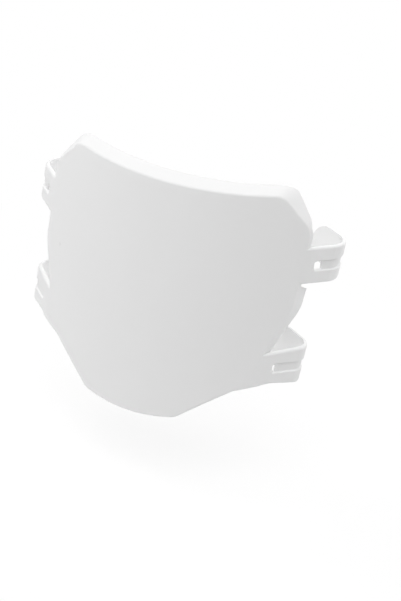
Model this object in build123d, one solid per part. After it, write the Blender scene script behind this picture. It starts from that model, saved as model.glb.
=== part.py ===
from build123d import *
from math import acos, asin, atan2, cos, degrees, radians, sin, sqrt, tan
import os

# Racing number board: one moulded shell, in millimetres.
# X runs across the board, -Y is the way it faces, and Z is up.
# The origin lies midway between the two fork legs and midway between the upper and lower straps.

# Face and wall
wall = 2.5
face_radius = 205.0
face_to_legs = 63.0
draft = 21.5
edge_round = 2.2

# Outline of the face, seen from the front, at half width and height
top_height = 93.1
ear_half = 89.6
shoulder_half = 115.0
shoulder_height = 77.4
hip_height = 7.6
root_half = 91.5
root_height = -65.7
nose_half = 42.3
nose_height = -105.9
nose_bottom = -111.4
ear_corner = 5.0
shoulder_corner = 8.0
hip_corner = 30.0
root_corner = 5.0
nose_corner = 9.0

# Return rim along the top and down the upper corners
rim_depth = 16.5
rim_end_depth = 5.0
rim_end_rise = 16.0

# Side flanges between the straps
flange_depth = 9.8
flange_taper = 3.0
flange_end_slope = 20.0

# Straps that reach round the fork legs
strap_wall = 3.4
strap_sink = 0.1
strap_spacing = 95.0
strap_edge_round = 2.0
strap_lap = 19.0
arm_heading = 44.7
tongue_top_corner = 16.5
tongue_low_corner = 6.0
upper_strap_height = 31.6
upper_lip_rise = 10.5
upper_under_rise = 10.0
upper_root_bend = 30.0
upper_arm_length = 21.7
upper_hook_radius = 17.7
upper_tongue_heading = 144.5
upper_tongue_length = 30.5
lower_strap_height = 29.2
lower_lip_rise = 14.0
lower_under_rise = 1.0
lower_root_bend = 20.0
lower_arm_length = 30.8
lower_hook_radius = 11.5
lower_tongue_heading = 147.0
lower_tongue_length = 35.0
lower_flare_angle = 38.5
lower_flare_reach = 5.0
lower_flare_round = 20.0

# Slot and groove that take the fastening of each strap
slot_reach = 14.3
slot_height = 7.2
slot_corner = 1.2
upper_slot_length = 7.8
lower_slot_length = 3.8
groove_depth = 1.2
groove_edge = 1.1

draft_rate = tan(radians(draft))
crown = -face_to_legs
face_axis = crown + face_radius
ample = 2.0 * face_radius


def face_depth(half):
    """Y of the front of the face at a distance from the middle plane."""
    return face_axis - sqrt(face_radius**2 - half**2)


def drafted_side(low, high):
    """Drafted side through two points of the face's edge, the lower one first.

    Returns the outward normal of its line on the plane that touches the crown, and the line's distance.
    """
    run, climb = high[0] - low[0], high[1] - low[1]
    growth = draft_rate * (face_depth(high[0]) - face_depth(low[0]))
    angle = atan2(climb, run) - acos(growth / sqrt(run**2 + climb**2))
    normal = (cos(angle), sin(angle))
    grown = draft_rate * (face_depth(low[0]) - crown)
    return normal, normal[0] * low[0] + normal[1] * low[1] - grown


def meet(first, second):
    """Point where two lines, given by normal and distance, cross."""
    (a, b), e = first
    (c, d), f = second
    det = a * d - b * c
    return (e * d - b * f) / det, (a * f - e * c) / det


def edge_half(side, height):
    """Half width of the face's edge at a height, on one drafted side."""
    (across, up), distance = side
    half = shoulder_half
    for _ in range(40):
        grown = draft_rate * (face_depth(half) - crown)
        half = (distance + grown - up * height) / across
    return half


ear_height = top_height + draft_rate * (face_depth(ear_half) - crown)
top_side = ((0.0, 1.0), top_height)
chamfer_side = drafted_side((shoulder_half, shoulder_height), (ear_half, ear_height))
upright_side = drafted_side((shoulder_half, hip_height), (shoulder_half, shoulder_height))
lower_side = drafted_side((root_half, root_height), (shoulder_half, hip_height))
taper_side = drafted_side((nose_half, nose_height), (root_half, root_height))
corner_radii = (ear_corner, shoulder_corner, hip_corner, root_corner, nose_corner)


def outline(inset):
    """Outline on the plane that touches the crown, moved in by an inset."""
    sides = [(normal, distance - inset) for normal, distance in
             (top_side, chamfer_side, upright_side, lower_side, taper_side)]
    corners = [meet(a, b) for a, b in zip(sides, sides[1:])]
    nose_z = nose_height + draft_rate * (face_depth(nose_half) - crown) + inset
    corners.append(meet(sides[-1], ((0.0, 1.0), nose_z)))
    opposite = [(-x, z) for x, z in reversed(corners)]
    with BuildSketch(Plane((0, crown, 0), x_dir=(-1, 0, 0), z_dir=(0, 1, 0))) as sketch:
        with BuildLine():
            Polyline(opposite + corners)
            ThreePointArc(corners[-1], (0, nose_bottom + inset), opposite[0])
        make_face()
        for (x, z), radius in zip(corners, corner_radii):
            pair = [v for v in sketch.vertices() if abs(abs(v.X) - x) < 0.01 and abs(v.Y - z) < 0.01]
            fillet(pair, radius - inset)
    return sketch.sketch


def face_cylinder(radius, shift=0.0):
    """Upright cylinder about the axis of the face, moved back by a shift."""
    return Pos(0, face_axis + shift, 0) * Cylinder(radius, ample)


def beside(points):
    """Block right across the board whose side view has these corners, in Y and Z."""
    return extrude(Plane.YZ * make_face(Polyline(points, close=True).edges()), ample, both=True)


def shell():
    """Curved face with the drafted rim and side flanges behind its edge."""
    side_depth = face_depth(shoulder_half)
    depth = side_depth - crown + rim_depth + flange_depth
    block = extrude(outline(0.0), depth, taper=-draft) & face_cylinder(face_radius)
    front = block.faces().filter_by(GeomType.CYLINDER).sort_by(Axis.Y)[0]
    block = fillet(front.edges(), edge_round)
    inner = extrude(outline(wall / cos(radians(draft))), depth, taper=-draft)
    tray = block - (inner & face_cylinder(face_radius - wall))

    skin = face_cylinder(face_radius) - face_cylinder(face_radius - wall)
    rim_low = shoulder_height - shoulder_corner
    rim_back = side_depth + rim_end_depth
    rim_zone = beside([(crown, rim_low), (side_depth, rim_low), (rim_back, rim_low + rim_end_rise),
                       (rim_back, ample), (crown, ample)])
    rim_zone -= face_cylinder(face_radius, rim_depth)

    slope = tan(radians(flange_end_slope))
    flange_top = upper_under + slope * (side_depth - crown)
    flange_zone = beside([(crown, flange_top), (crown + depth, flange_top - slope * depth),
                          (crown + depth, lower_lip), (crown, lower_lip)])
    flange_zone -= Location((0, face_axis + flange_depth, upper_under), (-flange_taper, 0, 0)) * Cylinder(
        face_radius, ample)
    return tray & (skin + rim_zone + flange_zone)


def strap(middle, root, height, lip_rise, under_rise, root_bend, arm_length, hook_radius, tongue_heading,
          tongue_length, slot_length, flare_angle=0.0, flare_reach=0.0, flare_round=0.0):
    """Strap on the +X side: an arm off the face, a hook round the leg and a tongue, with slot and groove."""
    lap_radius = face_radius - strap_sink
    lap_half = root - strap_lap
    lap_start = (lap_half, face_axis - sqrt(lap_radius**2 - lap_half**2))
    lap_heading = degrees(asin(lap_half / lap_radius))
    lap_way = (cos(radians(lap_heading)), sin(radians(lap_heading)))
    root_heading = degrees(asin(root / lap_radius))
    arm_way = Vector(cos(radians(arm_heading)), sin(radians(arm_heading)))
    arm_out = Vector(sin(radians(arm_heading)), -cos(radians(arm_heading)))
    tongue_way = Vector(cos(radians(tongue_heading)), sin(radians(tongue_heading)))
    tongue_in = Vector(-sin(radians(tongue_heading)), cos(radians(tongue_heading)))
    hook_turn = tongue_heading - arm_heading

    with BuildLine() as path:
        lap = JernArc(lap_start, lap_way, lap_radius, root_heading - lap_heading)
        bend = JernArc(lap @ 1, lap % 1, root_bend, arm_heading - root_heading)
        arm = Line(bend @ 1, bend @ 1 + arm_way * arm_length)
        hook = JernArc(arm @ 1, arm % 1, hook_radius, hook_turn)
        tongue = Line(hook @ 1, hook @ 1 + tongue_way * tongue_length)
    slot_middle = bend @ 1 + arm_way * (slot_reach - bend.length)
    groove_start = slot_middle - arm_way * (slot_length / 2 - slot_corner)
    with BuildLine() as groove_path:
        Line(groove_start, arm @ 1)
        JernArc(arm @ 1, arm % 1, hook_radius, hook_turn)
        Line(hook @ 1, tongue @ 1 + tongue_way * wall)

    def slopes(thickness, top_rise, low_rise):
        """Block between two slopes, a thickness apart at the middle of the slot."""
        reach = 1.5 * face_to_legs
        near, far = slot_middle.Y - reach, slot_middle.Y + reach
        top, top_climb = middle + thickness / 2, reach * tan(radians(top_rise))
        low, low_climb = middle - thickness / 2, reach * tan(radians(low_rise))
        return beside([(near, low - low_climb), (far, low + low_climb), (far, top + top_climb),
                       (near, top - top_climb)])

    def band(line, amount):
        """Upright wall on the inner side of a line in plan, or on its outer side if negative."""
        wall_side = Side.LEFT if amount > 0 else Side.RIGHT
        plan = make_face(offset(line.wire(), abs(amount), side=wall_side).edges())
        return Pos(0, 0, middle - height) * extrude(plan, 2 * height)

    def from_line(line, edge):
        """Distance in plan from a line to the middle of an edge."""
        point = edge @ 0.5
        return line.wire().distance_to(Vertex(point.X, point.Y, 0))

    def free_end(shape):
        """Flat end of the tongue."""
        end_middle = tongue @ 1 + tongue_in * (strap_wall / 2) + Vector(0, 0, middle)
        return shape.faces().sort_by_distance(end_middle)[0]

    zone = slopes(height, lip_rise, under_rise)
    if flare_angle:
        knee_y = (bend @ 1 + arm_way * flare_reach).Y
        knee_z = middle - height / 2 + (knee_y - slot_middle.Y) * tan(radians(under_rise))
        foot_y, foot_z = knee_y - face_to_legs, knee_z - face_to_legs * tan(radians(flare_angle))
        zone += beside([(knee_y, knee_z), (knee_y, middle), (foot_y, middle), (foot_y, foot_z)])
        knee = zone.edges().filter_by(Axis.X).sort_by_distance(Vector(0, knee_y, knee_z))[0]
        zone = fillet(knee, flare_round)
    body = band(path, strap_wall) & zone
    body = fillet(free_end(body).edges().sort_by(Axis.Z)[-1], tongue_top_corner)
    body = fillet(free_end(body).edges().sort_by(Axis.Z)[0], tongue_low_corner)
    rims = body.edges().filter_by(lambda edge: edge.length > 1.2 * strap_wall)
    lips = [edge for edge in rims if abs(edge.tangent_at(0.5).Z) < 0.999]
    lips += free_end(body).edges().filter_by(Axis.Z)
    body = fillet([edge for edge in lips if from_line(path, edge) < strap_wall / 2], strap_edge_round)

    groove_rise = (lip_rise + under_rise) / 2
    groove_slopes = slopes(slot_height + 2 * groove_edge, groove_rise, groove_rise)
    groove = band(groove_path, groove_depth) & groove_slopes
    floor = [edge for edge in groove.edges() if abs(edge.tangent_at(0.5).Z) < 0.999
             and edge.length > 1.2 * groove_depth and from_line(groove_path, edge) > groove_depth / 2]
    groove = chamfer(floor, groove_edge)
    groove += band(groove_path, -groove_depth) & groove_slopes
    slot_way = arm_way + Vector(0, 0, arm_way.Y * tan(radians(groove_rise)))
    slot_plane = Plane(slot_middle + Vector(0, 0, middle), x_dir=slot_way, z_dir=arm_out)
    slot = extrude(slot_plane * RectangleRounded(slot_length, slot_height, slot_corner), 2 * wall, both=True)
    return body - groove - slot


lead = slot_reach * sin(radians(arm_heading))
upper_lip = strap_spacing / 2 + upper_strap_height / 2 - lead * tan(radians(upper_lip_rise))
upper_under = strap_spacing / 2 - upper_strap_height / 2 - lead * tan(radians(upper_under_rise))
lower_lip = -strap_spacing / 2 + lower_strap_height / 2 - lead * tan(radians(lower_lip_rise))
upper_root = edge_half(upright_side, upper_lip)
lower_root = edge_half(lower_side, lower_lip)

upper_strap = strap(strap_spacing / 2, upper_root, upper_strap_height, upper_lip_rise, upper_under_rise,
                    upper_root_bend, upper_arm_length, upper_hook_radius, upper_tongue_heading,
                    upper_tongue_length, upper_slot_length)
lower_strap = strap(-strap_spacing / 2, lower_root, lower_strap_height, lower_lip_rise, lower_under_rise,
                    lower_root_bend, lower_arm_length, lower_hook_radius, lower_tongue_heading,
                    lower_tongue_length, lower_slot_length, lower_flare_angle, lower_flare_reach,
                    lower_flare_round)
straps = [upper_strap, lower_strap]
number_board = shell() + straps + [mirror(one, Plane.YZ) for one in straps]

os.makedirs("parts", exist_ok=True)
export_step(number_board, "parts/number_board.step")
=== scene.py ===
# %% [markdown]
# # A moulded racing number board
#
# The board goes on the front of an off-road motorbike. It is one white plastic moulding: a curved face, a return rim
# along its top, and four straps that hook round the fork legs. This lesson loads the measured solid, gives it the
# finish of moulded plastic, and lights it as a product picture.

import bpy
from mathutils import Matrix, Vector


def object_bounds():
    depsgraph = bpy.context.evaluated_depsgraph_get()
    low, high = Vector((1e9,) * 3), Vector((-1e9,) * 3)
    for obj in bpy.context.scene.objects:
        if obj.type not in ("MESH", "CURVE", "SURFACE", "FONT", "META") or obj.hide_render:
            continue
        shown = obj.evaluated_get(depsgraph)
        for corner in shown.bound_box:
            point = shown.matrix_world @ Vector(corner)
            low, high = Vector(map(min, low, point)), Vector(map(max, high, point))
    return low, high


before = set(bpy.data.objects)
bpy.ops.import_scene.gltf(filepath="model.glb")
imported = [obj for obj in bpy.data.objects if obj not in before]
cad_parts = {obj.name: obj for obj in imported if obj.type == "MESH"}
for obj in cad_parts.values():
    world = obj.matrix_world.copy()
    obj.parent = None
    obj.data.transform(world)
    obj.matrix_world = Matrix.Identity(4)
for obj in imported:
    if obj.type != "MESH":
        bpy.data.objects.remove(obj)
cad_low, cad_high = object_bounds()
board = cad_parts["number_board"]
scene = bpy.context.scene
bpy.ops.object.select_all(action="DESELECT")
print("board size in mm:", [round(1000 * side, 1) for side in cad_high - cad_low])

# %% [markdown]
# ## A short way to write shader maths
#
# A finish is a tree of nodes, and trees get long. One small class wraps a socket, so that sums are written as Python
# sums and every other node comes from one method.


# %% Shader maths
class Socket:
    """An output socket of a node tree, with arithmetic."""

    def __init__(self, tree, out):
        self.tree, self.out = tree, out

    def node(self, kind, settings=None, output=0, **links):
        """Add a node of a kind, set its settings, then give its sockets values or links."""
        made = self.tree.nodes.new("ShaderNode" + kind)
        for name, value in (settings or {}).items():
            setattr(made, name, value)
        for name, value in links.items():
            target = made.inputs[int(name[1:])] if name[1:].isdigit() else made.inputs[name.replace("_", " ")]
            if isinstance(value, Socket):
                self.tree.links.new(value.out, target)
            else:
                target.default_value = value
        return Socket(self.tree, made.outputs[output])

    def feed(self, shader, name):
        """Link this socket to a named input of a shader."""
        self.tree.links.new(self.out, shader.inputs[name])

    def math(self, operation, first, second):
        """Join two sockets or numbers by one operation of the Math node."""
        return self.node("Math", {"operation": operation}, i0=first, i1=second)

    def __add__(self, other):
        return self.math("ADD", self, other)

    __radd__ = __add__

    def __sub__(self, other):
        return self.math("SUBTRACT", self, other)

    def __rsub__(self, other):
        return self.math("SUBTRACT", other, self)

    def __mul__(self, other):
        return self.math("MULTIPLY", self, other)

    __rmul__ = __mul__


def new_material(name):
    """Make a material, and return it with its shader and the object's own coordinates."""
    material = bpy.data.materials.new(name)
    material.use_nodes = True
    tree = material.node_tree
    place = Socket(tree, tree.nodes.new("ShaderNodeTexCoord").outputs["Object"])
    return material, tree.nodes["Principled BSDF"], place


print("shader helper ready")

# %% [markdown]
# ## White moulded polypropylene
#
# The real board is plain white plastic with a satin skin. Three things keep it from looking like flat paint: a very
# fine grain that the mould's texture leaves, a slow wander of the surface where the plastic shrank as it cooled, and
# a slight change of tone and gloss over the face. They could be painted on an unwrapped mesh. A noise for each, at its
# own scale and read from the object's own coordinates, needs no unwrapping and runs over every edge without a seam.

# %% Noises of the skin
grain_scale, wander_scale, cloud_scale = 1600.0, 22.0, 9.0
plastic, plastic_shader, place = new_material("white_moulded_plastic")
grain = place.node("TexNoise", Vector=place, Scale=grain_scale, Detail=2.0, Roughness=0.6)
wander = place.node("TexNoise", Vector=place, Scale=wander_scale, Detail=2.0, Roughness=0.5)
cloud = place.node("TexNoise", Vector=place, Scale=cloud_scale, Detail=3.0, Roughness=0.55)
print("noises per metre: grain", grain_scale, "wander", wander_scale, "cloud", cloud_scale)

# %% [markdown]
# ## Tone of the plastic
#
# The white is even to within a few percent. The one mark on the real face is a faint speck near its left edge, about
# three millimetres across. It is the distance from one point of the face, turned into a soft spot.

# %% Tone
white = (0.80, 0.80, 0.80, 1.0)
tone_low, tone_swing = 0.985, 0.03
speck_place = (-0.0958, -0.0392, 0.0081)
speck_core, speck_edge = 0.0004, 0.0026
speck_depth = 0.06
from_speck = place.node("VectorMath", {"operation": "DISTANCE"}, output="Value", i0=place, i1=speck_place)
speck = place.node("MapRange", {"interpolation_type": "SMOOTHSTEP"}, Value=from_speck, From_Min=speck_core,
                   From_Max=speck_edge, To_Min=speck_depth, To_Max=0.0)
tone = (tone_low + tone_swing * cloud) * (1.0 - speck)
shade = place.node("CombineColor", Red=tone, Green=tone, Blue=tone)
colour = place.node("Mix", {"data_type": "RGBA", "blend_type": "MULTIPLY"}, output=2, i0=1.0, i6=white, i7=shade)
colour.feed(plastic_shader, "Base Color")
print("white:", white[:3], "speck at", speck_place)

# %% [markdown]
# ## Gloss and relief
#
# The picture shows soft shading and no sharp highlight anywhere, so the skin is rough: its gloss changes a little with
# the cloud and the grain. The relief is far too shallow to model, so it goes into the normals, as heights in metres.

# %% Gloss and relief
roughness_low, roughness_cloud, roughness_grain = 0.60, 0.10, 0.06
grain_height, wander_height = 0.00002, 0.00010
relief_strength = 0.5
plastic_ior = 1.49
specular_level = 0.4
roughness = roughness_low + roughness_cloud * cloud + roughness_grain * grain
roughness.feed(plastic_shader, "Roughness")
height = grain_height * grain + wander_height * wander
bump = place.node("Bump", Strength=relief_strength, Distance=1.0, Height=height)
bump.feed(plastic_shader, "Normal")
plastic_shader.inputs["IOR"].default_value = plastic_ior
plastic_shader.inputs["Specular IOR Level"].default_value = specular_level
board.data.materials.clear()
board.data.materials.append(plastic)
print("board finish:", plastic.name)

# %% [markdown]
# ## Floor
#
# The board hangs on its fork in use, so the floor lies a little below it and only takes a soft shadow.

# %% Floor
drop = 0.06
floor_side = 14.0
floor_level = cad_low.z - drop
bpy.ops.mesh.primitive_plane_add(size=floor_side, location=(0.0, 0.0, floor_level))
floor = bpy.context.object
floor.name = "floor"
print("floor at", round(1000 * floor_level, 1), "mm")

# %% [markdown]
# ## Floor paper
#
# Product pictures have a white ground: what is seen directly fades into pure white away from the board, while for the
# light that bounces up it stays plain paper. Light Path tells the two apart, so no extra light falls on the board.


# %% Floor paper
def seen_directly(tree):
    """1 for rays from the camera, a reflection or a clear part, and 0 for light that bounces."""
    path = tree.nodes.new("ShaderNodeLightPath")
    camera_ray, glossy_ray, clear_ray = (
        Socket(tree, path.outputs[name]) for name in ("Is Camera Ray", "Is Glossy Ray", "Is Transmission Ray"))
    return camera_ray.math("MAXIMUM", camera_ray, glossy_ray.math("MAXIMUM", glossy_ray, clear_ray))


paper_share = 0.22
fade_start, fade_end = 0.15, 0.75
fibre_scale = 300.0
paper_low, paper_swing = 0.88, 0.04
paper_roughness = 0.9
paper, paper_shader, paper_place = new_material("white_paper_floor")
fibre = paper_place.node("TexNoise", Vector=paper_place, Scale=fibre_scale, Detail=3.0, Roughness=0.6)
paper_tone = paper_low + paper_swing * fibre
paper_colour = paper_place.node("CombineColor", Red=paper_tone, Green=paper_tone, Blue=paper_tone)
paper_colour.feed(paper_shader, "Base Color")
paper_shader.inputs["Roughness"].default_value = paper_roughness
from_board = paper_place.node("VectorMath", {"operation": "LENGTH"}, output="Value", i0=paper_place)
share = paper_place.node("MapRange", {"interpolation_type": "SMOOTHSTEP"}, Value=from_board, From_Min=fade_start,
                         From_Max=fade_end, To_Min=paper_share, To_Max=0.0)
white_ground = paper_place.node("Emission", Strength=1.0)
ground = paper_place.node("MixShader", Fac=seen_directly(paper_place.tree) * (1.0 - share),
                          i1=Socket(paper_place.tree, paper_shader.outputs[0]), i2=white_ground)
ground.feed(paper_place.tree.nodes["Material Output"], "Surface")
floor.data.materials.append(paper)
print("floor paper fades from", fade_start, "m to", fade_end, "m")

# %% [markdown]
# ## Surround
#
# Past the floor's edge the world takes over. It is white where it is seen, and almost dark as a light, because the
# soft boxes do the lighting.

# %% Surround
surround_light = 0.02
world = bpy.data.worlds.new("white_surround")
scene.world = world
world.use_nodes = True
background = world.node_tree.nodes["Background"]
background.inputs["Color"].default_value = (1.0, 1.0, 1.0, 1.0)
strength = surround_light + (1.0 - surround_light) * seen_directly(world.node_tree)
strength.feed(background, "Strength")
print("surround light:", surround_light)

# %% [markdown]
# ## Studio light
#
# Six large soft boxes stand round the board. The strongest hangs above and in front, so the rim, which looks up, is the
# brightest part. The upper left one is about twice as strong as the upper right one, so the curved face fades slowly
# from left to right. Those behind light the insides of the hooks. Their powers were set so that no side of the board,
# the back included, clips to white.


# %% Soft boxes
def soft_box(name, spot, size, power):
    """Add a square area lamp that looks at the middle of the board."""
    bpy.ops.object.light_add(type="AREA", location=spot)
    lamp = bpy.context.object
    lamp.name = name
    lamp.data.size = size
    lamp.data.energy = power
    lamp.rotation_euler = (-Vector(spot)).to_track_quat("-Z", "Y").to_euler()


soft_box("front_top_box", (0.05, -1.0, 1.4), size=1.4, power=21.2)
soft_box("upper_left_box", (-1.2, -0.1, 1.3), size=1.2, power=14.4)
soft_box("upper_right_box", (1.1, 0.2, 1.3), size=1.2, power=6.8)
soft_box("left_box", (-1.6, -0.8, 0.4), size=1.4, power=3.0)
soft_box("right_back_box", (1.4, 1.1, 0.5), size=1.4, power=11.6)
soft_box("back_box", (0.2, 1.8, 0.7), size=1.4, power=16.9)

# %% [markdown]
# ## Camera
#
# The camera stands in front, a little to the right of the board and above it, and the board leans in the picture, so
# the camera rolls. Its place, its turn and its lens were fitted to the edges that the photograph shows.

# %% Camera
picture_height = 601.0
focal_pixels = 900.0
sensor_mm = 36.0
camera_place = (0.23498, -0.72215, 0.25235)
right = Vector((0.92276, 0.33524, 0.19007))
up = Vector((-0.28555, 0.26355, 0.92141))
back = Vector((0.25880, -0.90452, 0.33892))
turn = Matrix((right, up, back)).transposed().to_4x4()
bpy.ops.object.camera_add()
camera = bpy.context.object
camera.matrix_world = Matrix.Translation(camera_place) @ turn
camera.data.sensor_fit = "AUTO"
camera.data.sensor_width = sensor_mm
camera.data.lens = sensor_mm * focal_pixels / picture_height
scene.camera = camera
scene.view_settings.view_transform = "Standard"
print("lens in mm:", round(camera.data.lens, 2))
